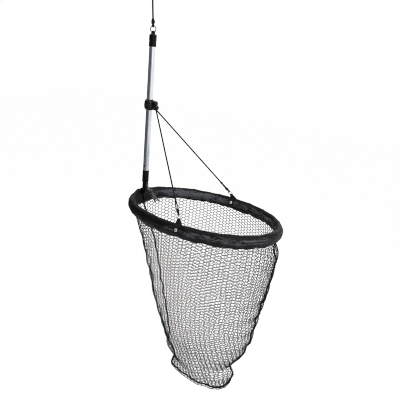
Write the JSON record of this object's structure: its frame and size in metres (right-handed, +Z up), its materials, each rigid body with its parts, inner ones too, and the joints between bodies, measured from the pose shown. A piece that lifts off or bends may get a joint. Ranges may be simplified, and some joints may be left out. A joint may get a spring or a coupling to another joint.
{
  "type": "drop net",
  "caption": "Fishing drop net: a short capped pole hung on a rope, a hinged padded oval hoop held level by two stay cords, and a deep net bag.",
  "frame": {"origin": "where the hanging ring bears in the eye of the pole's cap", "axes": "+Z up the pole, +X from the pole towards the far end of the hoop, +Y across the hoop; the pole stands on Z and the hoop lies level 600 mm below the origin"},
  "size_m": [0.5986, 0.4036, 1.4885],
  "materials": {
    "nickel_steel": "nickel-plated wire and hardware, bright",
    "black_cord": "braided synthetic cord, dull",
    "black_plastic": "moulded nylon, satin",
    "satin_aluminium": "clear-anodised drawn tube, satin",
    "glass_fibre_rod": "pulled glass-fibre rod",
    "grey_foam": "closed-cell foam tube",
    "band_cloth": "woven sleeve cloth with a fine crinkle",
    "black_webbing": "woven webbing",
    "olive_ribbon": "woven ribbon",
    "net_cord": "knotless knitted net twine"
  },
  "bodies": {
    "rope_line": {"hanging_ring": "nickel_steel", "rope_ring_knot": "black_cord", "suspension_rope": "black_cord", "rope_top_loop": "black_cord"},
    "pole": {"pole_cap": "black_plastic", "cap_rivet": "nickel_steel", "pole_tube": "satin_aluminium", "pole_foot": "black_plastic", "foot_rivet": "nickel_steel", "hinge_pin": "nickel_steel", "near_hinge_washer": "nickel_steel", "far_hinge_washer": "nickel_steel", "hinge_nut": "nickel_steel", "lever_pin": "nickel_steel", "lever_spring": "nickel_steel", "stay_collar": "black_plastic", "collar_screw": "nickel_steel", "collar_nut": "nickel_steel", "stay_knot": "black_cord", "near_stay_cord": "black_cord", "far_stay_cord": "black_cord"},
    "lever": {"lock_lever": "black_plastic"},
    "hoop": {"hinge_tongue": "black_plastic", "near_frame_arm": "glass_fibre_rod", "far_frame_arm": "glass_fibre_rod", "frame_joiner": "satin_aluminium", "near_hoop_foam": "grey_foam", "far_hoop_foam": "grey_foam", "hoop_sleeve": "band_cloth", "near_hoop_tab": "black_webbing", "far_hoop_tab": "black_webbing", "near_outer_eyelet": "nickel_steel", "near_inner_eyelet": "nickel_steel", "far_outer_eyelet": "nickel_steel", "far_inner_eyelet": "nickel_steel", "near_stay_ring": "nickel_steel", "far_stay_ring": "nickel_steel", "near_stay_eye": "black_cord", "far_stay_eye": "black_cord", "band_ribbon": "olive_ribbon", "net_bag": "net_cord", "net_seam_cord": "net_cord"}
  },
  "joints": [
    {"name": "pole_swing", "type": "hinge", "parent": "rope_line", "child": "pole", "pos_m": [0, 0, 0], "axis": [1, 0, 0], "range_deg": [-70, 70]},
    {"name": "hoop_fold", "type": "hinge", "parent": "pole", "child": "hoop", "pos_m": [0, 0, -0.572], "axis": [0, -1, 0], "range_deg": [0, 88], "deforming": ["near_stay_cord", "far_stay_cord"]},
    {"name": "lever_turn", "type": "hinge", "parent": "pole", "child": "lever", "pos_m": [0.0065, 0, -0.551], "axis": [0, -1, 0], "range_deg": [0, 20], "stiffness_Nm_per_rad": 0.02, "springref_deg": -28.65}
  ]
}
